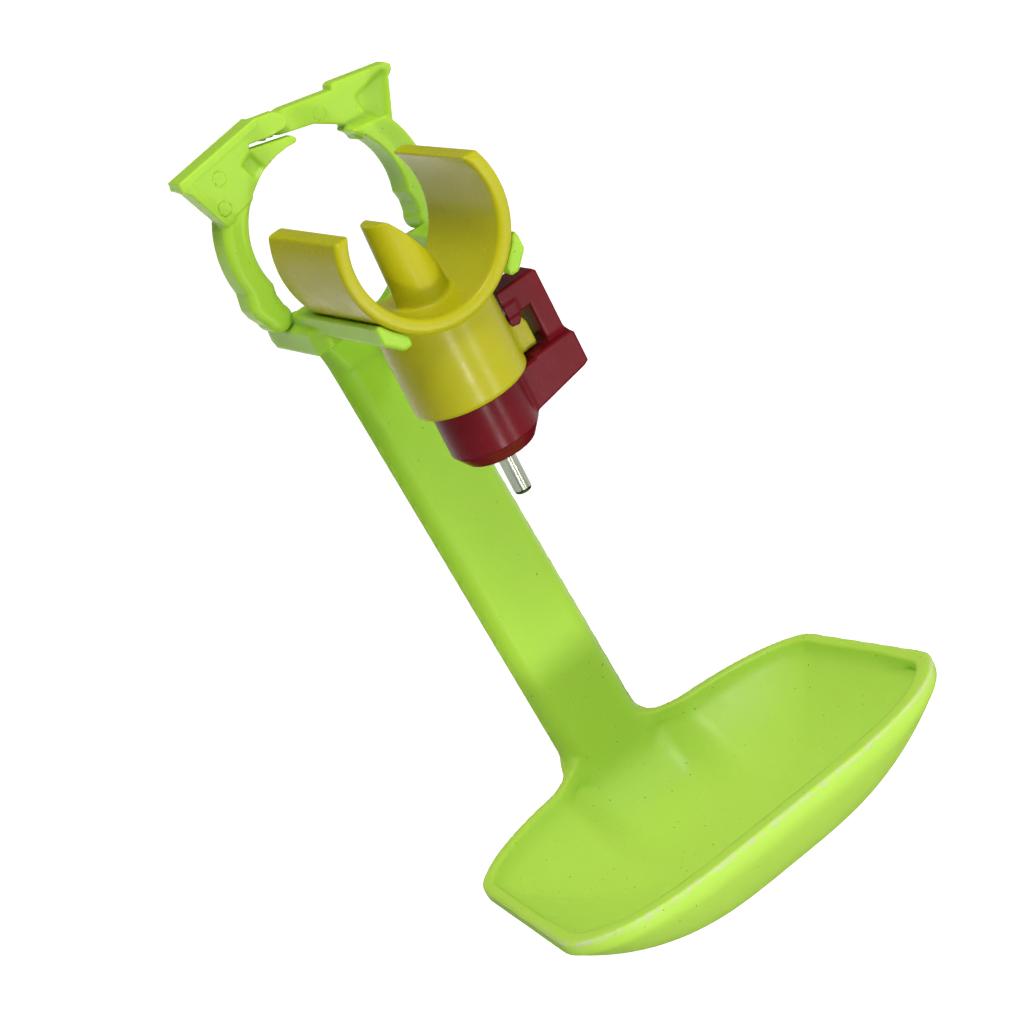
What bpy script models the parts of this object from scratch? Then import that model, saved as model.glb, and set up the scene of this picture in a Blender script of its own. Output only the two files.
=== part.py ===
"""Poultry nipple drinker with a clip-on drip cup, for a 25 mm round water pipe.

Frame: the origin is on the pipe's axis, straight above the nipple. Y is the pipe's axis,
X is the long side of the drip cup, Z is up. The yellow saddle hugs the pipe from below,
the red nipple body is latched under it, and the green hanger holds on to the pipe behind
the saddle with a two-jaw clamp and carries the drip cup below the trigger pin.

Lengths below are in millimetres and are turned into metres when a mesh is built.
"""

import math

import bmesh
import bpy

MM = 0.001
GAP = 0.3                      # clearance between pieces that touch on the real object
ROUND_STEPS = 48

# Saddle (clips on the pipe) with its inlet spout, stem and latch lug
PIPE_RADIUS = 12.5
SADDLE_BORE = PIPE_RADIUS + 0.1
SADDLE_RADIUS = 15.0
SADDLE_HALF_LENGTH = 11.4
SADDLE_TIP_Z = 6.4
STEM_RADIUS = 9.55
STEM_TOP = -8.0
STEM_BOTTOM = -28.75
SOCKET_RADIUS = 7.1
SOCKET_TOP = -15.4
SPOUT_BASE_RADIUS = 4.4
SPOUT_TOP_RADIUS = 3.7
SPOUT_TOP = 2.6
SPOUT_BORE = 2.1
SPOUT_BORE_TOP = 0.4             # the tip stays closed: the bore comes out through the slanted face
SPOUT_CUT_BOTTOM_Z = -11.0
LUG_REACH = 12.7
LUG_HALF_DEPTH = 1.8
LUG_TOP = -22.5
LUG_BOTTOM = -28.3

# Nipple body (red) with its latch plate, and the valve inside it
BODY_RADIUS = 7.5
BODY_TOP = STEM_BOTTOM - GAP
BODY_BOTTOM = -39.4
NOSE_CHAMFER = 2.4
NOSE_RADIUS = 5.85
NOSE_HOLE = 2.7
SPIGOT_RADIUS = SOCKET_RADIUS - 0.35
SPIGOT_TOP = SOCKET_TOP - 0.5
SEAL_RING_Z = -20.2
SEAL_RING_RADIUS = 6.05
SEAL_RING_SECTION = 0.75
LATCH_FRONT = -3.0
LATCH_BACK = 2.6
LATCH_TOP = -17.2
LATCH_REACH = 17.4
LATCH_CLEARANCE = 9.9
WINDOW_TOP = -21.9
WINDOW_REACH = 13.9
SHOULDER_TOP = LUG_BOTTOM - GAP
SHOULDER_FRONT = -4.3
SHOULDER_BACK = 4.0
SHOULDER_REACH = 18.0
SLEEVE_RADIUS = 4.0
SLEEVE_TOP = -19.5
SLEEVE_BOTTOM = -38.3
CHAMBER_RADIUS = 3.1
LOWER_SEAT_Z = -37.4
LOWER_SEAT_RADIUS = 2.3
UPPER_SEAT_Z = -31.0
UPPER_SEAT_RADIUS = 2.0
PIVOT_Z = -35.6                # centre of the pin's round head, about which it tilts
PIN_RADIUS = 1.47
PIN_HEAD_RADIUS = 2.6
PIN_HEAD_TOP = 1.0             # above the pivot
PIN_TIP_Z = -47.7
BALL_RADIUS = 1.2
ROD_RADIUS = 1.1

# Hanger (green): fork, base, arm and cup in one moulding, and the clamp's two jaws
RING_FRONT = 17.8
RING_BACK = 23.8
JAW_OFFSET = 1.2
JAW_CENTRE_Z = 0.9
JAW_BORE = 12.75
JAW_RADIUS = 17.3
HINGE_X = 15.2
HINGE_Z = -8.1
HINGE_RADIUS = 2.3
LATCH_LAYER = 20.2             # the left jaw's plate ends here, and the tongue starts a gap behind
FORK_FRONT = -10.9
FORK_HALF_GAP = STEM_RADIUS + 0.35
FORK_REACH = 13.8
FORK_TOP = -8.0
FORK_BOTTOM = -13.5
FORK_BEVEL = 2.5
BASE_TOP = -10.2
BASE_BOTTOM = -14.9
BASE_FRONT = 9.0
BASE_BACK = 31.1
BASE_REACH = 15.0
YOKE_FRONT = 26.9
ARM_HALF_WIDTH = 8.0
ARM_THICKNESS = 4.0
ARM_EDGE = 1.5
ARM_TOP = -19.3
ARM_FOOT = -107.6
ARM_LEAN = 0.132               # the arm comes forward this much for each unit down
ARM_FACE_AT_RIM = 16.1
CUP_RIM_Z = -101.1
CUP_DEPTH = 16.0
CUP_WALL = 1.8
CUP_CENTRE_Y = -18.0
CUP_BACK_HALF = 36.0
CUP_BACK_Y = 4.5
CUP_BACK_BULGE = 11.3
CUP_FRONT_HALF = 39.0
CUP_FRONT_Y = -24.5
CUP_FRONT_BULGE = 10.8
CUP_SIDE_STEPS = 14
HEEL_HALF_WIDTH = 10.5
THROAT_HALF_WIDTH = 7.4

# Hidden inlet and pipe space
SADDLE_SPACE = SADDLE_RADIUS + 0.3


def clear_scene():
    for obj in list(bpy.data.objects):
        bpy.data.objects.remove(obj, do_unlink=True)


def material(name, colour, roughness, metallic=0.0):
    made = bpy.data.materials.new(name)
    made.use_nodes = True
    shader = made.node_tree.nodes["Principled BSDF"]
    shader.inputs["Base Color"].default_value = (*colour, 1.0)
    shader.inputs["Roughness"].default_value = roughness
    shader.inputs["Metallic"].default_value = metallic
    return made


def add_object(name, bm, origin=(0.0, 0.0, 0.0), surface=None, parent=None):
    """Make an object of a mesh drawn in world millimetres, with its origin on its joint."""
    bmesh.ops.recalc_face_normals(bm, faces=bm.faces[:])
    for vert in bm.verts:
        vert.co = [(vert.co[axis] - origin[axis]) * MM for axis in range(3)]
    mesh = bpy.data.meshes.new(name)
    bm.to_mesh(mesh)
    bm.free()
    mesh.shade_smooth()
    mesh.set_sharp_from_angle(angle=math.radians(32.0))
    obj = bpy.data.objects.new(name, mesh)
    obj.location = [value * MM for value in origin]
    bpy.context.scene.collection.objects.link(obj)
    if surface:
        mesh.materials.append(surface)
    if parent:
        obj.parent = parent
        obj.location = [0.0, 0.0, 0.0]
    return obj


def joint_empty(name, origin):
    empty = bpy.data.objects.new(name, None)
    empty.location = [value * MM for value in origin]
    bpy.context.scene.collection.objects.link(empty)
    return empty


def combine(target, tool, operation):
    """Join or cut the target with a hidden tool object."""
    tool.hide_render = True
    tool.display_type = "WIRE"
    modifier = target.modifiers.new(tool.name, "BOOLEAN")
    modifier.operation = operation
    modifier.solver = "EXACT"
    modifier.object = tool


def arc(centre, radius, start, end, steps):
    """Points of an arc in a plane, angles in degrees."""
    points = []
    for step in range(steps + 1):
        angle = math.radians(start + (end - start) * step / steps)
        points.append((centre[0] + radius * math.cos(angle), centre[1] + radius * math.sin(angle)))
    return points


def mirrored(points):
    return [(-x, z) for x, z in reversed(points)]


def prism(outline, axis, low, high):
    """Extrude a closed outline along Y (outline in X and Z) or along Z (outline in X and Y)."""
    bm = bmesh.new()
    rings = []
    for level in (low, high):
        if axis == "Y":
            ring = [bm.verts.new((a, level, b)) for a, b in outline]
        else:
            ring = [bm.verts.new((a, b, level)) for a, b in outline]
        rings.append(ring)
    bm.faces.new(rings[0])
    bm.faces.new(rings[1][::-1])
    count = len(outline)
    for index in range(count):
        after = (index + 1) % count
        bm.faces.new((rings[0][index], rings[1][index], rings[1][after], rings[0][after]))
    return bm


def box(x_range, y_range, z_range):
    corners = [(x_range[0], z_range[0]), (x_range[1], z_range[0]),
               (x_range[1], z_range[1]), (x_range[0], z_range[1])]
    return prism(corners, "Y", *y_range)


def turned(profile, steps=ROUND_STEPS, closed=False):
    """Turn a profile of (radius, z) about Z. Ends at radius 0 become poles; a closed one is a ring."""
    bm = bmesh.new()
    rings = []
    for radius, z in profile:
        if radius == 0.0:
            rings.append([bm.verts.new((0.0, 0.0, z))])
            continue
        ring = []
        for step in range(steps):
            angle = 2.0 * math.pi * step / steps
            ring.append(bm.verts.new((radius * math.cos(angle), radius * math.sin(angle), z)))
        rings.append(ring)
    pairs = list(zip(rings, rings[1:]))
    if closed:
        pairs.append((rings[-1], rings[0]))
    for first, second in pairs:
        for step in range(steps):
            after = (step + 1) % steps
            corners = [first[step % len(first)], first[after % len(first)],
                       second[after % len(second)], second[step % len(second)]]
            unique = list(dict.fromkeys(corners))
            if len(unique) > 2:
                bm.faces.new(unique)
    return bm


def sideways(outline, half_width):
    """Extrude an outline in Y and Z along X."""
    bm = prism(outline, "Y", -half_width, half_width)
    for vert in bm.verts:
        vert.co = (vert.co.y, vert.co.x, vert.co.z)
    return bm


def lying_cylinder(radius, low, high, centre=(0.0, 0.0), steps=ROUND_STEPS):
    return prism(arc(centre, radius, 0.0, 360.0 - 360.0 / steps, steps - 1), "Y", low, high)


def bridge_rings(bm, first, second):
    count = len(first)
    for index in range(count):
        after = (index + 1) % count
        bm.faces.new((first[index], first[after], second[after], second[index]))


# ---------------------------------------------------------------------------- saddle

def saddle_outline():
    """C-shaped section, open at the top, with its jaw tips level."""
    outer = math.degrees(math.asin(SADDLE_TIP_Z / SADDLE_RADIUS))
    inner = math.degrees(math.asin(SADDLE_TIP_Z / SADDLE_BORE))
    steps = 32
    return (arc((0.0, 0.0), SADDLE_RADIUS, outer, -180.0 - outer, steps)
            + arc((0.0, 0.0), SADDLE_BORE, -180.0 - inner, inner, steps))


def make_saddle(surface):
    saddle = add_object("pipe_saddle", prism(saddle_outline(), "Y", -SADDLE_HALF_LENGTH,
                                             SADDLE_HALF_LENGTH), surface=surface)
    edge = 0.8
    stem = turned([(0.0, STEM_TOP), (STEM_RADIUS, STEM_TOP), (STEM_RADIUS, STEM_BOTTOM + edge),
                   (STEM_RADIUS - edge, STEM_BOTTOM), (0.0, STEM_BOTTOM)])
    stem_tool = add_object("stem_tool", stem)
    # the stem ends in the middle of the shell's wall, all around
    middle = (SADDLE_BORE + SADDLE_RADIUS) / 2.0
    combine(stem_tool, add_object("stem_top_tool", lying_cylinder(middle, -20.0, 20.0)), "DIFFERENCE")
    combine(saddle, stem_tool, "UNION")
    lug_outline = [(STEM_RADIUS - 1.0, LUG_BOTTOM), (LUG_REACH, LUG_BOTTOM), (LUG_REACH, LUG_TOP - 1.6),
                   (LUG_REACH - 0.6, LUG_TOP - 0.4), (LUG_REACH - 1.6, LUG_TOP),
                   (STEM_RADIUS - 1.0, LUG_TOP)]
    lug = prism(lug_outline, "Y", -LUG_HALF_DEPTH, LUG_HALF_DEPTH)
    combine(saddle, add_object("lug_tool", lug), "UNION")
    spout = turned([(0.0, -14.0), (SPOUT_BASE_RADIUS, -14.0), (SPOUT_TOP_RADIUS, SPOUT_TOP),
                    (0.0, SPOUT_TOP)], 32)
    spout_tool = add_object("spout_tool", spout)
    cut = prism([(-SPOUT_TOP_RADIUS + 2.2, SPOUT_TOP + 1.0), (-SPOUT_TOP_RADIUS + 2.2, SPOUT_TOP),
                 (SPOUT_BASE_RADIUS + 0.6, SPOUT_CUT_BOTTOM_Z),
                 (SPOUT_BASE_RADIUS + 4.0, SPOUT_CUT_BOTTOM_Z), (SPOUT_BASE_RADIUS + 4.0, SPOUT_TOP + 1.0)],
                "Y", -8.0, 8.0)
    combine(spout_tool, add_object("spout_cut_tool", cut), "DIFFERENCE")
    combine(saddle, spout_tool, "UNION")
    socket = turned([(0.0, STEM_BOTTOM - 2.0), (SOCKET_RADIUS, STEM_BOTTOM - 2.0),
                     (SOCKET_RADIUS, SOCKET_TOP), (SPOUT_BORE, SOCKET_TOP),
                     (SPOUT_BORE, SPOUT_BORE_TOP), (0.0, SPOUT_BORE_TOP)])
    combine(saddle, add_object("socket_tool", socket), "DIFFERENCE")
    return saddle


# ---------------------------------------------------------------------- nipple and valve

def make_nipple_body(surface):
    """Turned body, with the latch plate that hooks over the stem's lug."""
    groove_radius = SEAL_RING_RADIUS - SEAL_RING_SECTION - GAP
    groove_half = SEAL_RING_SECTION + GAP
    bore = SLEEVE_RADIUS + GAP
    chamfer_z = BODY_BOTTOM + NOSE_CHAMFER
    profile = [(bore, SPIGOT_TOP), (SPIGOT_RADIUS, SPIGOT_TOP),
               (SPIGOT_RADIUS, SEAL_RING_Z + groove_half), (groove_radius, SEAL_RING_Z + groove_half),
               (groove_radius, SEAL_RING_Z - groove_half), (SPIGOT_RADIUS, SEAL_RING_Z - groove_half),
               (SPIGOT_RADIUS, BODY_TOP), (BODY_RADIUS, BODY_TOP), (BODY_RADIUS, chamfer_z),
               (NOSE_RADIUS, BODY_BOTTOM), (NOSE_HOLE, BODY_BOTTOM), (NOSE_HOLE, SLEEVE_BOTTOM - GAP),
               (bore, SLEEVE_BOTTOM - GAP)]
    body = add_object("nipple_body", turned(profile, closed=True), surface=surface)
    hook_outline = [(LATCH_CLEARANCE - 0.6, LATCH_TOP), (LATCH_REACH - 0.8, LATCH_TOP),
                    (LATCH_REACH, LATCH_TOP - 0.8), (LATCH_REACH, SHOULDER_TOP - 2.0),
                    (WINDOW_REACH, SHOULDER_TOP - 2.0), (WINDOW_REACH, WINDOW_TOP),
                    (LATCH_CLEARANCE - 0.6, WINDOW_TOP)]
    plate = add_object("latch_plate_tool", prism(hook_outline, "Y", LATCH_FRONT, LATCH_BACK))
    nub_outline = [(LATCH_CLEARANCE - 0.6, WINDOW_TOP + 1.0), (LATCH_CLEARANCE + 1.9, WINDOW_TOP + 1.0),
                   (LATCH_CLEARANCE + 1.6, WINDOW_TOP - 1.0), (LATCH_CLEARANCE + 0.9, WINDOW_TOP - 1.7),
                   (LATCH_CLEARANCE - 0.6, WINDOW_TOP - 1.3)]
    nub = prism(nub_outline, "Y", LATCH_FRONT, -LUG_HALF_DEPTH - GAP)
    combine(plate, add_object("latch_nub_tool", nub), "UNION")
    shoulder_outline = [(5.0, BODY_TOP), (LATCH_CLEARANCE, BODY_TOP), (LATCH_CLEARANCE, SHOULDER_TOP),
                        (SHOULDER_REACH - 0.7, SHOULDER_TOP), (SHOULDER_REACH, SHOULDER_TOP - 0.7),
                        (SHOULDER_REACH, -34.4), (SHOULDER_REACH - 0.9, -34.9), (5.0, -36.7)]
    shoulder = prism(shoulder_outline, "Y", SHOULDER_FRONT, SHOULDER_BACK)
    combine(plate, add_object("shoulder_tool", shoulder), "UNION")
    room = turned([(0.0, -12.0), (LATCH_CLEARANCE, -12.0), (LATCH_CLEARANCE, BODY_TOP), (0.0, BODY_TOP)])
    combine(plate, add_object("stem_room_tool", room), "DIFFERENCE")
    combine(body, plate, "UNION")
    return body


def make_seal_ring(surface):
    section = arc((SEAL_RING_RADIUS, SEAL_RING_Z), SEAL_RING_SECTION, 0.0, -330.0, 11)
    return add_object("seal_ring", turned(section, closed=True), surface=surface)


def make_retainer(surface):
    """Guide that keeps the sleeve and the rod in the body."""
    top = SPIGOT_TOP - 0.6
    bottom = SLEEVE_TOP + GAP
    guide = ROD_RADIUS + 0.1 + GAP
    profile = [(guide, top), (SLEEVE_RADIUS, top), (SLEEVE_RADIUS, bottom), (CHAMBER_RADIUS, bottom),
               (CHAMBER_RADIUS, bottom + 1.2), (guide, bottom + 1.2)]
    return add_object("rod_guide", turned(profile, closed=True), surface=surface)


def make_sleeve(surface):
    profile = [(CHAMBER_RADIUS, SLEEVE_TOP), (SLEEVE_RADIUS, SLEEVE_TOP), (SLEEVE_RADIUS, SLEEVE_BOTTOM),
               (LOWER_SEAT_RADIUS, SLEEVE_BOTTOM), (LOWER_SEAT_RADIUS, LOWER_SEAT_Z),
               (CHAMBER_RADIUS, LOWER_SEAT_Z), (CHAMBER_RADIUS, UPPER_SEAT_Z - 1.0),
               (UPPER_SEAT_RADIUS, UPPER_SEAT_Z - 1.0), (UPPER_SEAT_RADIUS, UPPER_SEAT_Z),
               (CHAMBER_RADIUS, UPPER_SEAT_Z)]
    return add_object("valve_sleeve", turned(profile, closed=True), surface=surface)


def make_rod(surface, parent):
    ball_top = PIVOT_Z + PIN_HEAD_TOP + GAP + 2.0 * BALL_RADIUS
    bottom = ball_top + GAP
    profile = [(0.0, SPIGOT_TOP - 1.1), (ROD_RADIUS, SPIGOT_TOP - 1.1), (ROD_RADIUS, UPPER_SEAT_Z + 3.2),
               (2.6, UPPER_SEAT_Z + 2.6), (2.6, UPPER_SEAT_Z + 1.1), (ROD_RADIUS, UPPER_SEAT_Z - 0.2),
               (ROD_RADIUS, bottom), (0.0, bottom)]
    return add_object("valve_rod", turned(profile, 32), surface=surface, parent=parent)


def make_ball(surface, parent, pivot):
    centre = PIVOT_Z + PIN_HEAD_TOP + GAP + BALL_RADIUS
    steps = 12
    profile = [(0.0, centre + BALL_RADIUS)]
    for step in range(1, steps):
        angle = math.pi * step / steps
        profile.append((BALL_RADIUS * math.sin(angle), centre + BALL_RADIUS * math.cos(angle)))
    profile.append((0.0, centre - BALL_RADIUS))
    return add_object("valve_ball", turned(profile, 24), pivot, surface, parent)


def make_pin(surface, parent, pivot):
    """Trigger pin: a round-bottomed head in the sleeve's lower chamber, and the shank birds peck."""
    edge = 0.35
    profile = [(0.0, PIVOT_Z + PIN_HEAD_TOP)]
    top_angle = math.degrees(math.asin(PIN_HEAD_TOP / PIN_HEAD_RADIUS))
    low_angle = -math.degrees(math.acos(PIN_RADIUS / PIN_HEAD_RADIUS))
    profile += arc((0.0, PIVOT_Z), PIN_HEAD_RADIUS, top_angle, low_angle, 10)
    profile += [(PIN_RADIUS, PIN_TIP_Z + edge), (PIN_RADIUS - edge, PIN_TIP_Z), (0.0, PIN_TIP_Z)]
    return add_object("trigger_pin", turned(profile, 32), pivot, surface, parent)


# ------------------------------------------------------------------------ hanger and cup

def rim_outline(inset):
    """Plan of the cup's rim: a bulging back, slightly flared ends and a nearly straight front."""
    points = []
    for step in range(CUP_SIDE_STEPS + 1):
        angle = math.pi * (0.5 - step / CUP_SIDE_STEPS)
        x = (CUP_BACK_HALF - inset) * math.sin(angle)
        share = max(0.0, 1.0 - abs(math.sin(angle)) ** 2.6)
        points.append((x, CUP_BACK_Y + (CUP_BACK_BULGE - inset) * share ** (2.0 / 3.0)))
    for step in range(CUP_SIDE_STEPS + 1):
        angle = math.pi * (step / CUP_SIDE_STEPS - 0.5)
        x = (CUP_FRONT_HALF - inset) * math.sin(angle)
        share = max(0.0, 1.0 - abs(math.sin(angle)) ** 4.0)
        points.append((x, CUP_FRONT_Y - (CUP_FRONT_BULGE - inset) * share ** (1.0 / 1.6)))
    return points


def cup_skin(bm, inset, depth):
    """Rings of one skin of the bowl, from its rim to its lowest point."""
    rings = []
    for scale in (1.0, 0.97, 0.92, 0.84, 0.73, 0.58, 0.40, 0.20):
        z = CUP_RIM_Z - depth * (1.0 - scale ** 3)
        ring = []
        for x, y in rim_outline(inset):
            ring.append(bm.verts.new((x * scale, CUP_CENTRE_Y + (y - CUP_CENTRE_Y) * scale, z)))
        rings.append(ring)
    for first, second in zip(rings, rings[1:]):
        bridge_rings(bm, first, second)
    bottom = bm.verts.new((0.0, CUP_CENTRE_Y, CUP_RIM_Z - depth))
    last = rings[-1]
    for index in range(len(last)):
        bm.faces.new((last[index], last[(index + 1) % len(last)], bottom))
    return rings[0]


def cup_mesh():
    bm = bmesh.new()
    outer = cup_skin(bm, 0.0, CUP_DEPTH)
    inner = cup_skin(bm, CUP_WALL, CUP_DEPTH - CUP_WALL)
    bridge_rings(bm, outer, inner)
    return bm


def arm_face(z):
    return ARM_FACE_AT_RIM + ARM_LEAN * (z - CUP_RIM_Z)


def arm_mesh():
    """Leaning arm with an eight-sided section."""
    bm = bmesh.new()
    rings = []
    for z in (ARM_TOP, ARM_FOOT):
        front = arm_face(z)
        back = front + ARM_THICKNESS
        section = [(-ARM_HALF_WIDTH + ARM_EDGE, front), (ARM_HALF_WIDTH - ARM_EDGE, front),
                   (ARM_HALF_WIDTH, front + ARM_EDGE), (ARM_HALF_WIDTH, back - ARM_EDGE / 2),
                   (ARM_HALF_WIDTH - ARM_EDGE / 2, back), (-ARM_HALF_WIDTH + ARM_EDGE / 2, back),
                   (-ARM_HALF_WIDTH, back - ARM_EDGE / 2), (-ARM_HALF_WIDTH, front + ARM_EDGE)]
        rings.append([bm.verts.new((x, y, z)) for x, y in section])
    bm.faces.new(rings[0])
    bm.faces.new(rings[1][::-1])
    bridge_rings(bm, rings[0], rings[1])
    return bm


def base_outline():
    """Plan of the two side plates before the slot between them is cut."""
    corner = 4.5
    back = arc((BASE_REACH - corner, BASE_BACK - corner), corner, 0.0, 90.0, 6)
    right = [(FORK_REACH, BASE_FRONT), (BASE_REACH, BASE_FRONT + 3.0)] + back
    return right + mirrored(right)


def base_mesh_object():
    """Side plates with the prongs in front of them, open in the middle from front to back."""
    base = add_object("base_tool", prism(base_outline(), "Z", BASE_BOTTOM, BASE_TOP))
    profile = [(BASE_FRONT - 1.0, 0.0), (BASE_FRONT - 1.0, FORK_BOTTOM), (13.0, BASE_BOTTOM - 1.0),
               (BASE_BACK + 1.0, BASE_BOTTOM - 1.0), (BASE_BACK + 1.0, -13.0), (27.2, -11.2),
               (24.0, BASE_TOP), (23.0, 0.0)]
    combine(base, add_object("profile_tool", sideways(profile, BASE_REACH + 2.0)), "INTERSECT")
    rail = [(FORK_HALF_GAP - 1.0, FORK_TOP), (FORK_HALF_GAP - 1.0, FORK_BOTTOM),
            (FORK_REACH - FORK_BEVEL, FORK_BOTTOM), (FORK_REACH, FORK_BOTTOM + FORK_BEVEL),
            (FORK_REACH, FORK_TOP)]
    for side, outline in (("right", rail), ("left", mirrored(rail))):
        tool = add_object(f"fork_{side}_tool", prism(outline, "Y", FORK_FRONT, RING_FRONT - GAP))
        combine(base, tool, "UNION")
    slot = box((-FORK_HALF_GAP, FORK_HALF_GAP), (FORK_FRONT - 3.0, BASE_BACK + 3.0), (-20.0, 0.0))
    combine(base, add_object("slot_tool", slot), "DIFFERENCE")
    return base


def yoke_outline():
    """Piece joining the side plates to the top of the arm, with a notch under the pipe."""
    notch = [(5.5, -18.9), (8.2, -17.6), (9.4, -15.4), (FORK_HALF_GAP - 0.1, -13.4)]
    edge = [(13.7, -13.4), (13.8, -14.6), (13.1, -16.0), (11.5, -17.6), (7.7, -20.4), (7.0, -24.0)]
    return notch + edge + mirrored(notch + edge)


def make_hanger(surface):
    hanger = add_object("drip_cup_hanger", cup_mesh(), surface=surface)
    heel = [(14.9, -101.4), (20.6, -101.4), (20.0, -107.9), (16.5, -110.0), (9.5, -110.8),
            (8.3, -109.2), (11.7, -105.2)]
    combine(hanger, add_object("heel_tool", sideways(heel, HEEL_HALF_WIDTH)), "UNION")
    # the cup's back wall gives way here, so that the arm's own front face runs down into the bowl
    throat = [(17.0, -98.0), (15.7, -107.0), (6.5, -109.2), (6.5, -98.0)]
    combine(hanger, add_object("throat_tool", sideways(throat, THROAT_HALF_WIDTH)), "DIFFERENCE")
    combine(hanger, add_object("arm_tool", arm_mesh()), "UNION")
    yoke = prism(yoke_outline(), "Y", YOKE_FRONT, BASE_BACK - 0.3)
    combine(hanger, add_object("yoke_tool", yoke), "UNION")
    combine(hanger, base_mesh_object(), "UNION")
    saddle_room = lying_cylinder(SADDLE_SPACE, FORK_FRONT - 5.0, SADDLE_HALF_LENGTH + GAP)
    combine(hanger, add_object("saddle_room_tool", saddle_room), "DIFFERENCE")
    for side, sign in (("left", -1.0), ("right", 1.0)):
        seat = lying_cylinder(HINGE_RADIUS + GAP, RING_FRONT - GAP, RING_BACK + GAP,
                              (sign * HINGE_X, HINGE_Z), 24)
        combine(hanger, add_object(f"hinge_seat_{side}_tool", seat), "DIFFERENCE")
    return hanger


def band_outline():
    """Left jaw's band: the round end at its living hinge, the bulge, and the arc along the pipe."""
    centre = (-JAW_OFFSET, JAW_CENTRE_Z)
    inner = arc(centre, JAW_BORE, 133.0, 197.0, 12)
    outer = arc(centre, JAW_RADIUS, 190.0, 150.0, 8)
    end = arc((-HINGE_X, HINGE_Z), HINGE_RADIUS, 40.0, -180.0, 12)
    inner_bulge = [(-13.7, -4.6)]
    outer_bulge = [(-18.4, -6.4), (-18.8, -4.8), (-18.5, -3.2)]
    return inner + inner_bulge + end + outer_bulge + outer


def make_left_jaw(surface, parent, pivot):
    """Jaw with the mouth: a front plate with an outer arm and an inner finger, a pad and its walls."""
    jaw = add_object("clamp_jaw_left", prism(band_outline(), "Y", RING_FRONT, RING_BACK), pivot,
                     surface, parent)
    plate = [(-15.9, 9.2), (-18.6, 16.2), (-19.7, 17.2), (-19.7, 18.7), (-3.8, 20.8), (-0.5, 20.1),
             (0.7, 19.2), (1.0, 18.1), (0.6, 17.2), (-0.4, 16.9), (-3.0, 17.1), (-6.5, 17.8),
             (-6.9, 17.2), (0.4, 15.3), (0.9, 14.6), (0.4, 14.05)]
    plate += arc((-1.17, 1.08), 13.05, 84.0, 134.0, 8)
    combine(jaw, add_object("mouth_plate_tool", prism(plate, "Y", RING_FRONT, LATCH_LAYER)), "UNION")
    top_wall = [(-19.7, 17.2), (-19.7, 18.7), (-3.8, 20.8), (-4.0, 19.6), (-17.9, 17.6)]
    side_wall = [(-15.9, 9.2), (-18.6, 16.2), (-19.7, 17.2), (-17.9, 17.6), (-17.1, 15.6), (-14.2, 9.0)]
    for name, outline in (("top", top_wall), ("side", side_wall)):
        tool = add_object(f"pad_{name}_tool", prism(outline, "Y", RING_FRONT + 0.4, RING_BACK - 1.4))
        combine(jaw, tool, "UNION")
    return jaw


def make_right_jaw(surface, parent, pivot):
    """Jaw with the tongue, which lies behind the mouth's plate, and its own pad."""
    jaw = add_object("clamp_jaw_right", prism(mirrored(band_outline()), "Y", RING_FRONT, RING_BACK),
                     pivot, surface, parent)
    tooth = 0.45
    teeth = [(-3.9, 16.6), (-3.0, 16.6 - tooth), (-2.6, 16.5), (-1.7, 16.4 - tooth), (-1.3, 16.3),
             (-0.4, 16.1 - tooth)]
    tongue = ([(17.6, 7.0), (20.6, 13.9), (21.6, 14.4), (21.8, 15.4), (21.2, 16.1), (15.8, 17.2),
               (11.9, 18.0), (11.1, 17.9), (10.8, 17.1), (2.3, 18.9), (-2.6, 18.7), (-3.9, 17.7)]
              + teeth + [(2.2, 15.0), (5.7, 14.1), (10.1, 11.4), (11.0, 10.2), (10.9, 8.2)])
    tool = add_object("tongue_tool", prism(tongue, "Y", LATCH_LAYER + GAP, RING_BACK))
    combine(jaw, tool, "UNION")
    return jaw


def main():
    clear_scene()
    yellow = material("yellow_plastic", (0.46, 0.43, 0.03), 0.35)
    red = material("red_plastic", (0.16, 0.008, 0.014), 0.35)
    green = material("green_plastic", (0.33, 0.66, 0.06), 0.40)
    steel = material("stainless_steel", (0.62, 0.62, 0.60), 0.22, 1.0)
    rubber = material("black_rubber", (0.02, 0.02, 0.02), 0.80)
    white = material("white_plastic", (0.80, 0.80, 0.78), 0.50)

    make_saddle(yellow)
    make_nipple_body(red)
    make_seal_ring(rubber)
    make_retainer(white)
    make_sleeve(steel)
    pivot = (0.0, 0.0, PIVOT_Z)
    lift = joint_empty("valve_lift", (0.0, 0.0, 0.0))
    make_rod(steel, lift)
    tilt = joint_empty("trigger_tilt", pivot)
    make_ball(steel, tilt, pivot)
    make_pin(steel, tilt, pivot)
    make_hanger(green)
    left_hinge = (-HINGE_X, 0.0, HINGE_Z)
    right_hinge = (HINGE_X, 0.0, HINGE_Z)
    make_left_jaw(green, joint_empty("left_hinge", left_hinge), left_hinge)
    make_right_jaw(green, joint_empty("right_hinge", right_hinge), right_hinge)


main()
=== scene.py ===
"""Looks for the poultry nipple drinker: smooth moulded surfaces, materials, studio and camera.

Each moulded piece is the zero surface of a distance field, so that its corners and joins are
rounded as on a real moulding. Lengths in the fields are millimetres in the row frame.
"""

import math

import bmesh
import bpy
import numpy as np
from mathutils import Matrix, Vector


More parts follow.
